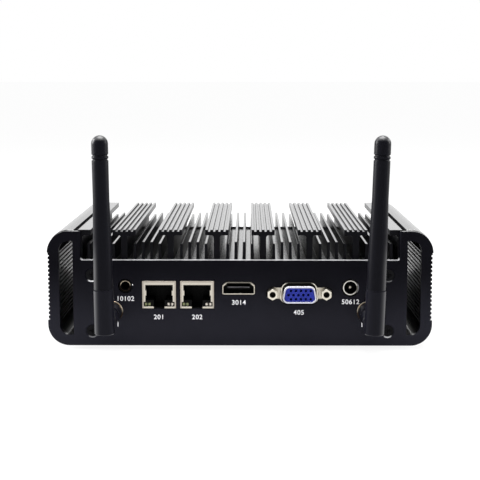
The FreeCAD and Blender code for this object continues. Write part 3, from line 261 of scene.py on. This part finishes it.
# In the rails' tunnels the tips of the ribs and the wall across from them are glossy, and pass on
# the light from the far end, which reaches lower there than near the mouth; the rest is dull.
# The saw left the rails' ends bare, which shows as a thin line above the connector panel; along
# the upper outer curve of their ends lies a painted highlight, stronger on the right.
rails, black, die_lines = anodised("side_rail_anodising", 0.0)
outward, height, depth = abs(rails.along("X")), rails.along("Z"), rails.along("Y")
tunnel_out, tunnel_up, tunnel_floor = 0.0817, 0.0273, 0.0050
tunnel = outward.near(tunnel_out, 0.0038) * height.near(tunnel_up, 0.0225)
between_tips = outward.near(0.0813, 0.0034)
corner = outward.near(0.0842, 0.0018) * height.near(0.0480, 0.0036)
shade_slope = 0.24
lit = rails.ramp(height + depth * shade_slope, 0.0190, 0.0250) * (1.0 - corner)
round_out, round_up = 0.080, 0.0444
from_round = rails.radius(outward - round_out, height - round_up)
# Painted highlight on the rails' ends along their upper outer curve, stronger towards the right.
curve_highlight = (rails.ramp(from_round, 0.0095, 0.0097) * rails.ramp(height, 0.0445, 0.0475)
            * rails.ramp(outward, 0.0798, 0.0802)
            * rails.ramp(rails.along("X"), -0.06, 0.06, 0.25, 0.75))
edge = rails.ramp(height, 0.0537, 0.0539) * rails.ramp(outward, 0.0815, 0.0795)
# Pale metal on the bare strip the saw left at the top of the rails' ends, and on that painted
# highlight.
bare_end_and_highlight = rails.ramp(rails.facing("Y"), -0.3, -0.6) * (edge + curve_highlight)
rails.set(base_color=rails.between(black, (0.6,) * 3, bare_end_and_highlight),
          metallic=tunnel * between_tips * lit + bare_end_and_highlight,
          roughness=die_lines * 0.12 + 0.28 + corner * 0.55 - tunnel * 0.06)
sheen(rails, 0.35 + tunnel * (between_tips * lit - 0.35),
      1.0 - tunnel * (1.0 - lit - height.near(tunnel_floor, 0.00015)))
rails.raised(die_lines, 0.000006, 1.0 - tunnel * 0.9)
dress(rails, "side_rail_left", "side_rail_right")
ease_edges("side_rail_left", "side_rail_right", width=0.0002)


# Main board with its processor, spreader and plug-in cards, hung under the heat sink.
# Green solder mask over glass cloth, moulded black packages and a milled copper block.
mask = Finish("solder_mask", roughness=0.35)
weave = mask.cloud(0.0007, 1.0)
mask.set(base_color=mask.between((0.004, 0.045, 0.022), (0.010, 0.080, 0.040), weave))
mask.raised(weave, 0.00001)
dress(mask, "main_board", "memory_module", "storage_card", "radio_card")

package = Finish("moulded_package", roughness=0.6)
speck = package.cloud(0.0003)
package.set(base_color=package.between((0.020,) * 3, (0.035,) * 3, speck))
dress(package, "processor")

copper = Finish("milled_copper", metallic=1.0)
swirl = copper.cloud(0.0005, 3.0, (1, 20, 1))
copper.set(base_color=copper.between((0.72, 0.36, 0.22), (0.82, 0.48, 0.32), swirl),
           roughness=swirl * 0.2 + 0.2)
dress(copper, "heat_spreader")

pad = Finish("thermal_pad", roughness=0.9)
tack = pad.cloud(0.0009)
pad.set(base_color=pad.between((0.30, 0.36, 0.42), (0.38, 0.44, 0.50), tack))
dress(pad, "thermal_pad")


# Connector panel and the panel opposite: 3 mm aluminium plate, bead blasted and anodised black.
# The plate is painted paler towards the bottom, as painted bounce light from the floor. A painted
# highlight runs along the notch floor, painted glints sit on the lower rims of the four
# countersinks, strongest at the upper left, and a small painted glint sits beside the audio
# socket.
plate = Finish("blasted_black_plate", specular_ior_level=0.03, coat_ior=2.0,
               coat_roughness=0.2)
blast = plate.cloud(0.00018)
across, height, up = plate.along("X"), plate.along("Z"), plate.facing("Z")
# Random mottle, plus painted bounce light that makes the plate paler towards the bottom.
mottle_and_bounce_light = plate.cloud(0.012) * 0.12 + plate.ramp(height, 0.040, 0.006, 0.0, 0.75)
black = plate.between((0.0014, 0.0013, 0.0026), (0.0122, 0.0122, 0.0170), mottle_and_bounce_light)
notch_floor, screws_out, screws_up = 0.0412, 0.0693, 0.0195
# Painted highlight on the upward faces along the notch floor.
notch_highlight = plate.ramp(up, 0.3, 0.6) * height.near(notch_floor, 0.0008) * 0.43
# Painted glints on the lower rims of the countersinks: strongest at the upper left, weakest at the
# upper right.
right, upper = plate.ramp(across, -0.06, 0.06), plate.ramp(height, 0.006, 0.028)
mouths = abs(across).near(screws_out, 0.0036) * height.near(screws_up, 0.018)
mouth_glints = plate.ramp(up, 0.55, 0.68) * mouths * (
    0.15 + right * 0.35 + upper * (0.55 - right * 0.95))
painted_glints = notch_highlight + mouth_glints
# Painted glint: a small pale dot beside the audio socket.
spot_across, spot_up = -0.0503, 0.02885
from_spot = plate.radius(across - spot_across, height - spot_up)
glint_spot = plate.ramp(from_spot, 0.0005, 0.0003) * plate.ramp(plate.along("Y"), 0.01, -0.01)
plate.set(base_color=plate.between(black, (0.80, 0.80, 0.82), painted_glints + glint_spot),
          roughness=blast * 0.12 + 0.36)
sheen(plate, 0.1, 1.0 - painted_glints)
plate.raised(blast, 0.000008)
dress(plate, "connector_panel", "back_panel")
ease_edges("connector_panel", "back_panel", width=0.00025, segments=3)


# Moulded black plastic of the socket bodies, pressed on the board and nearly hidden by it.
# Slightly glossy, with the fine spark-eroded skin of such mouldings. A pale line is painted along
# the video socket's tongue, and a painted glint curves beside the power inlet's mouth.
bodies = ("lan_insert_1", "lan_insert_2", "video_tongue", "power_inlet", "audio_socket")
moulded = Finish("moulded_black", roughness=0.38, specular_ior_level=0.05)
skin = moulded.cloud(0.0003)
across, height, depth = (moulded.along(axis) for axis in "XZY")
# A pale line painted along the upper front edge of the video socket's tongue.
tongue_front, tongue_up, half_tongue = -0.0641, 0.02770, 0.006
line = (depth.near(tongue_front, 0.0003) * height.near(tongue_up, 0.00020)
        * abs(across).near(0.0, half_tongue))
# Painted glint curving round the right of the power inlet's mouth, on the inlet's face.
inlet_front, pin_across, pin_up = -0.0645, 0.05162, 0.0275
from_pin = moulded.radius(across - pin_across, height - pin_up)
inlet_glint = (depth.near(inlet_front, 0.0002) * from_pin.near(0.00382, 0.00018)
       * across.near(0.0553, 0.0004))
plastic = moulded.between((0.0010,) * 3, (0.0030,) * 3, skin)
moulded.set(base_color=moulded.between(plastic, (0.20, 0.195, 0.21), line * 0.4 + inlet_glint))
moulded.raised(skin, 0.000008)
dress(moulded, *bodies, "memory_socket", "button_switch", "usb_tongues")
ease_edges(*bodies, width=0.0001)


# Nickel-plated metal of the sockets: thin sheet, folded or drawn, bright and slightly warm at its
# rims, with painted shade deeper in, where it lies in the shadow of the casing.
nickel, shadow = ((0.42, 0.39, 0.33), (0.56, 0.52, 0.45)), (0.010,) * 3


def plated(name):
    """Nickel plating, and the cloud that its colour follows."""
    metal = Finish(name, metallic=1.0)
    cast = metal.cloud(0.0012)
    metal.set(roughness=cast * 0.15 + 0.22)
    metal.raised(metal.cloud(0.0025), 0.00001)
    return metal, cast


# Where the painted shade of a socket begins.
def behind(metal, mouth):
    """One from 0.4 mm behind a socket's mouth inwards."""
    return metal.ramp(metal.along("Y"), mouth + 0.0002, mouth + 0.0004)


# Shields of the network sockets: sheet folded round each insert, its tabs soldered to the board.
# They are brightest below the roof, between their folded sides.
shield, _ = plated("network_shield_nickel")
fold, roof, roof_end = 0.0007, 0.0009, 0.0006
folded = 0.0
for name in ("lan_shield_1", "lan_shield_2"):
    low_corner, high_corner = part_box(name)
    middle = (low_corner.x + high_corner.x) / 2
    reach = (high_corner.x - low_corner.x) / 2 - fold
    folded = shield.along("X").near(middle, reach) + folded
folded = folded * (1.0 - shield.ramp(
    shield.along("Z"), high_corner.z - roof, high_corner.z - roof_end))
shield.set(base_color=shield.between(
    shield.between((0.40, 0.36, 0.31), (0.55, 0.51, 0.44), folded), shadow,
    behind(shield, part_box("lan_shield_1")[0].y)))
dress(shield, "lan_shield_1", "lan_shield_2")
ease_edges("lan_shield_1", "lan_shield_2", width=0.00010)

# The flat video socket's shell: one strip of sheet, folded round the tongue and its carrier.
# Its upper edge is painted dark, a painted shade.
flat_shell, cast = plated("video_shell_nickel")
# Painted shade along the shell's upper edge.
upper = flat_shell.ramp(flat_shell.along("Z"), 0.0290, 0.0306)
flat_shell.set(base_color=flat_shell.between(
    flat_shell.between(flat_shell.between(*nickel, cast), (0.02, 0.018, 0.015), upper), shadow,
    behind(flat_shell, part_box("video_shell")[0].y)))
dress(flat_shell, "video_shell")
ease_edges("video_shell", width=0.00010)

# Sleeve of the power inlet: a short drawn tube, pressed into the moulded body.
# It is paler than the rest, and painted dark at its lower right, a painted shade.
pipe, _ = plated("power_sleeve_nickel")
# Painted shade at the sleeve's lower right.
wear_and_shade = pipe.ramp(pipe.along("X"), 0.0538, 0.0545) * pipe.ramp(pipe.along("Z"), 0.0290, 0.0280)
pipe.set(base_color=pipe.between(
    pipe.between((0.76, 0.74, 0.68), (0.24, 0.23, 0.20), wear_and_shade), shadow,
    behind(pipe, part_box("power_sleeve")[0].y)))
dress(pipe, "power_sleeve")
ease_edges("power_sleeve", width=0.00015, segments=3)

# Centre pin of the power inlet, turned from wire, and the folded shells of the USB sockets in
# the panel opposite. They are bright all over.
stick, cast = plated("usb_and_pin_nickel")
stick.set(base_color=stick.between(*nickel, cast))
dress(stick, "power_pin", "usb_shells")
ease_edges("usb_shells", width=0.00010)

# Screen socket: the drawn D-shaped shell stands on a flange with a raised lip. The lip has painted
# light at its left and right only; painted shade darkens the flange between the lip and the shell
# and under the two hex standoffs, and the shell deeper than its mouth. The shell's upper face has
# a painted highlight from its mouth to 2 mm behind it.
screen, cast = plated("screen_socket_nickel")
deep = behind(screen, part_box("dsub_shell")[0].y - 0.00005)
low_corner, high_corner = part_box("dsub_shell")
middle = (low_corner + high_corner) / 2
depth, height = screen.along("Y"), screen.along("Z")
lip_front, flange_front = -0.0652, -0.0646
behind_lip, behind_flange = (screen.ramp(depth, front, front + 0.0002)
                             for front in (lip_front, flange_front))
aside = abs(screen.along("X") - middle.x)
ears = screen.ramp(aside, 0.0076, 0.0080) * (
    1.0 - screen.ramp(aside, 0.0102, 0.0124)) * height.near(middle.z, 0.0030)
# Painted light on the lip's left and right, its top left in painted shade.
sides = screen.ramp(aside, 0.0052, 0.0072, 0.06, 1.0) * screen.ramp(height, 0.0200, 0.0225)
lip = behind_lip * (1.0 - behind_flange)
# Painted highlight on the shell's upper face, from its mouth to 2 mm behind it.
lit_top_face = screen.ramp(screen.facing("Z"), 0.3, 0.6) * (
    1.0 - screen.ramp(depth, low_corner.y + 0.0012, low_corner.y + 0.0026))
cream = screen.between(screen.between(*nickel, cast), (0.86, 0.82, 0.72), lip)
bright = screen.between(screen.between((0.56, 0.56, 0.64), cream, deep),
                        (0.62, 0.62, 0.68), lit_top_face)
# Near black, a painted shade, wherever none of that painted light is laid.
screen.set(metallic=1.0 - lit_top_face, base_color=screen.between(
    (0.008,) * 3, bright, 1.0 - deep + lip * sides + behind_flange * ears + lit_top_face))
dress(screen, "dsub_shell")
ease_edges("dsub_shell", width=0.00018, segments=3)

# Hex standoffs: turned from bar and screwed in through the flange, for the screws of a plug.
# They are bright round their threaded holes, which are painted dark, a painted shade that reaches
# a little past the rim.
standoff = Finish("standoff_nickel", metallic=1.0)
standoff_out, hole = 0.012495, 0.00138
from_hole = standoff.radius(abs(standoff.along("X") - middle.x) - standoff_out,
                            standoff.along("Z") - middle.z)
wear_and_shade = standoff.cloud(0.0012)
# Painted shade in and just round the threaded holes; random wear elsewhere.
standoff.set(base_color=standoff.between(
    (0.008, 0.007, 0.006), standoff.between((0.42, 0.38, 0.31), (0.92, 0.88, 0.78), wear_and_shade),
    standoff.ramp(from_hole, hole, hole + 0.00012)), roughness=wear_and_shade * 0.15 + 0.2)
dress(standoff, "dsub_jackscrews")
ease_edges("dsub_jackscrews", width=0.00030, segments=3)


# Gold-plated contacts and threads: the wires of the network sockets, the lip of the audio
# socket and the threaded feed-throughs of the antennas with their washers and nuts.
gold = Finish("gold_plate", metallic=1.0)
wash = gold.cloud(0.0006)
gold.set(base_color=gold.between((0.22, 0.14, 0.06), (0.34, 0.23, 0.11), wash),
         roughness=wash * 0.15 + 0.2)
dress(gold, "lan_contacts", "radio_bulkheads", "radio_nuts")
ease_edges("radio_nuts", width=0.0001)

# The audio lip and the washers carry a painted highlight on their upper half, on the lip's face
# and at the washers' rim, and are painted dark elsewhere, a painted shade.
lip_gold = Finish("audio_lip_gold", metallic=1.0, roughness=0.3)
low_edge, high_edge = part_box("audio_ring")
middle_z = (low_edge.z + high_edge.z) / 2
above = lip_gold.ramp(lip_gold.along("Z"), middle_z - 0.0002, middle_z + 0.0014)
face = lip_gold.ramp(lip_gold.facing("Y"), -0.4, -0.8)
# Painted highlight on the upper half of the lip's face, painted shade elsewhere.
lip_gold.set(base_color=lip_gold.between((0.02, 0.012, 0.008), (0.66, 0.57, 0.42), above * face))
dress(lip_gold, "audio_ring")
ease_edges("audio_ring", width=0.00008)

washer = Finish("washer_gold", metallic=1.0, roughness=0.3)
low_edge, high_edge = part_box("radio_washers")
middle_z = (low_edge.z + high_edge.z) / 2
feed_through_out = 0.05975
from_thread = washer.radius(abs(washer.along("X")) - feed_through_out,
                            washer.along("Z") - middle_z)
rim = washer.ramp(from_thread, 0.0044, 0.0047)
above = washer.ramp(washer.along("Z"), middle_z - 0.0008, middle_z + 0.0015)
# Painted highlight on the upper half of the washers' rim, painted shade elsewhere.
washer.set(base_color=washer.between((0.045, 0.028, 0.016), (0.95, 0.85, 0.68), rim * above))
dress(washer, "radio_washers")
ease_edges("radio_washers", width=0.0001)


# Lamps at the lower corners of the network sockets: clear plastic over a ribbed lens, with a
# yellow-green tint in the left one of each pair and a warm one in the right.
lamp = Finish("lamp_plastic", roughness=0.25, specular_ior_level=0.2)
ribs_per_metre, ribs_from = 3530.0, 0.0325
# The lens's ribs are painted as pale and dark stripes, painted highlights.
facet_highlights = lamp.ramp(((lamp.along("X") + ribs_from) * ribs_per_metre).math("COSINE"), 0.3, -0.3)
warm = lamp.between((0.03, 0.025, 0.02), (0.36, 0.33, 0.29), facet_highlights)
green = lamp.between((0.02, 0.024, 0.010), (0.12, 0.13, 0.06), facet_highlights)
left_ones = lamp.along("X").near(-0.0430, 0.003) + lamp.along("X").near(-0.0254, 0.003)
lamp.set(base_color=lamp.between(warm, green, left_ones))
dress(lamp, "lan_lamps")

# Light pipes of the two status lights: the same plastic without the ribs, pressed into the panel
# opposite from inside.
light_pipe = Finish("light_pipe", roughness=0.25, specular_ior_level=0.3)
light_pipe.set(base_color=light_pipe.between(
    (0.12, 0.13, 0.06), (0.17, 0.19, 0.09), light_pipe.cloud(0.0008)))
dress(light_pipe, "status_lights")
ease_edges("lan_lamps", "status_lights", width=0.0002)


# Insert of the 15-pin screen socket: blue plastic, moulded in one piece with its fifteen holes
# and pressed into the shell, its face just inside the mouth.
blue = Finish("blue_insert", roughness=0.4, specular_ior_level=0.10)
flow = blue.cloud(0.0015)
blue.set(base_color=blue.between((0.005, 0.012, 0.135), (0.013, 0.020, 0.215), flow))
dress(blue, "dsub_insert")
ease_edges("dsub_insert", width=0.0001)


# Numbers screen printed in white on the connector panel, one beside each socket, at so many
# millimetres across and up. The ink stands 0.02 mm proud and is 2.2 mm high.
ink = Finish("white_ink", roughness=0.6)
dots = ink.cloud(0.00025)
ink.set(base_color=ink.between((0.52, 0.52, 0.54), (0.70, 0.70, 0.72), dots))
panel_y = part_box("connector_panel")[0].y
type_size, half_ink, swell = 0.0031, 0.00001, 0.00003
labels = {"10102": (-53.6, 22.2), "201": (-37.9, 13.5), "202": (-20.0, 13.5),
          "3014": (-0.5, 20.45), "405": (27.6, 15.75), "50612": (51.7, 20.8),
          "6071": (-59.75, 9.9), "1082": (59.75, 9.9)}
for number, (across, up) in labels.items():
    text = bpy.data.curves.new("number_" + number, "FONT")
    text.body = number
    text.size, text.extrude, text.offset = type_size, half_ink, swell
    text.space_character = 1.1
    text.align_x, text.align_y = "CENTER", "CENTER"
    written = bpy.data.objects.new("number_" + number, text)
    bpy.context.scene.collection.objects.link(written)
    written.rotation_euler.x = math.radians(90)
    written.location = (across / 1000, panel_y - half_ink, up / 1000)
    bpy.context.view_layer.update()
    shape = bpy.data.meshes.new_from_object(written)
    printed = bpy.data.objects.new("printed_number_" + number, shape)
    printed.matrix_world = written.matrix_world
    bpy.context.scene.collection.objects.link(printed)
    bpy.data.objects.remove(written)
    shape.materials.clear()
    shape.materials.append(ink.material)
    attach(printed, "casing")


# Antennas: a turning coupling nut, a knuckle with its hinge and the foot of the whip, all moulded
# in matt black plastic. The whip itself has a rubber sleeve with two rings near the tip.
def handled(finish):
    """One where a surface faces away from the middle of the casing, where hands turn it."""
    outwards = finish.along("X").math("SIGN")
    return finish.ramp(finish.facing("X") * outwards, 0.3, 0.9)


# The plastic is polished by hands on its outer side and dull round the joint with the sleeve.
antenna_plastic = Finish("antenna_plastic", specular_ior_level=0.07, coat_ior=1.45,
                         coat_roughness=0.35)
texture = antenna_plastic.cloud(0.0003)
seam = antenna_plastic.along("Z").near(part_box("antenna_sleeve_left")[0].z, 0.0005)
antenna_plastic.set(
    base_color=antenna_plastic.between((0.002, 0.002, 0.0035), (0.0045, 0.0045, 0.0075), texture),
    roughness=seam * 0.6 + 0.28,
    coat_weight=handled(antenna_plastic) * (1.0 - seam) * 0.75)
antenna_plastic.raised(texture, 0.000012)

# So is the rubber, up to a third of its height, and at the cap of the tip.
sleeve = Finish("antenna_sleeve", roughness=0.35, specular_ior_level=0.05, coat_ior=1.45,
                coat_roughness=0.42)
bloom = sleeve.cloud(0.0004)
height, tip = sleeve.along("Z"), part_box("antenna_sleeve_left")[1].z
cap = sleeve.ramp(height, tip - 0.0035, tip - 0.0015) * sleeve.ramp(sleeve.facing("Z"), 0.3, 0.6)
grip = handled(sleeve) * sleeve.ramp(height, 0.056, 0.040, 0.0, 0.6)
sleeve.set(
    base_color=sleeve.between((0.0012, 0.0012, 0.0022), (0.0035, 0.0035, 0.0055), bloom),
    coat_weight=cap + grip)
sleeve.raised(bloom, 0.000010)
for side in ("left", "right"):
    hard = [f"antenna_{piece}_{side}" for piece in ("coupling", "knuckle", "foot")]
    dress(antenna_plastic, *hard)
    ease_edges(*hard, width=0.00025, segments=3)
    dress(sleeve, f"antenna_sleeve_{side}", f"antenna_lead_{side}")
    ease_edges(f"antenna_sleeve_{side}", width=0.00015)
    lead = nodes[f"antenna_lead_{side}"].data
    lead.polygons.foreach_set("use_smooth", [True] * len(lead.polygons))


# Start button of the panel opposite: a turned stainless bezel and the cap that moves in it.
# Both are satin from the lathe, with fine rings.
turned = Finish("turned_steel", metallic=1.0)
rings = turned.cloud(0.0004)
turned.set(base_color=turned.between((0.30, 0.30, 0.31), (0.40, 0.40, 0.41), rings),
           roughness=rings * 0.15 + 0.30)
dress(turned, "button_bezel", "start_button")
ease_edges("button_bezel", "start_button", width=0.0001)


# Studio: a white floor under the rubber feet, a soft lamp overhead and two at the sides.
# The floor and the surroundings show white to the camera and in every reflection.
def seen(wiring):
    """One for what the camera sees, itself or in something shiny or clear."""
    camera, glossy, clear = (wiring.node("LightPath", {}, {}, f"Is {ray} Ray")
                             for ray in ("Camera", "Glossy", "Transmission"))
    return camera.math("MAXIMUM", glossy).math("MAXIMUM", clear)


ground = bpy.data.meshes.new("floor")
shape = bmesh.new()
bmesh.ops.create_grid(shape, x_segments=1, y_segments=1, size=40.0)
shape.to_mesh(ground)
shape.free()
floor = bpy.data.objects.new("floor", ground)
floor.location.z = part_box("rubber_feet")[0].z
bpy.context.scene.collection.objects.link(floor)
paper = Finish("white_paper", base_color=(0.9, 0.9, 0.9, 1), roughness=0.9,
               specular_ior_level=0.1)
white = paper.node("Emission", {}, {"Color": (1, 1, 1, 1), "Strength": 1.0})
shaded = Amount(paper, paper.shader.outputs[0])
paper.feed(paper.tree.nodes["Material Output"], {"Surface": paper.node(
    "MixShader", {}, {0: seen(paper) * 0.88, 1: shaded, 2: white})})
ground.materials.append(paper.material)

world = bpy.data.worlds.new("white studio")
bpy.context.scene.world = world
world.use_nodes = True
air = Wiring(world.node_tree)
air.feed(air.tree.nodes["Background"], {"Color": (1, 1, 1, 1),
                                        "Strength": seen(air) * 0.1 + 0.9})

for name, place, size, watts in (
        ("overhead", (0.0, 0.05, 0.85), 0.65, 16.0),
        ("left", (-0.8, 0.10, 0.30), 0.4, 22.0),
        ("right", (0.8, 0.10, 0.30), 0.4, 9.0)):
    light = bpy.data.lights.new(name, "AREA")
    light.size, light.energy = size, watts
    lamp_head = bpy.data.objects.new(name, light)
    lamp_head.location = place
    aim = Vector((0, 0, 0.03)) - lamp_head.location
    lamp_head.rotation_euler = aim.to_track_quat("-Z", "Y").to_euler()
    bpy.context.scene.collection.objects.link(lamp_head)

# Camera: a long lens 553 mm in front of the connector panel, looking 7.7 degrees down on it and
# turned by less than half a degree.
down, turn = math.radians(7.68), math.radians(0.44)
camera = bpy.data.cameras.new("camera")
camera.lens, camera.sensor_width = 90.1, 36.0
camera.clip_start = 0.01
eye = bpy.data.objects.new("camera", camera)
eye.location = (0.0043, -0.618, 0.1246)
eye.rotation_euler = (math.radians(90) - down, 0, turn)
bpy.context.scene.collection.objects.link(eye)
bpy.context.scene.camera = eye
bpy.context.scene.view_settings.view_transform = "Standard"

bpy.context.view_layer.update()
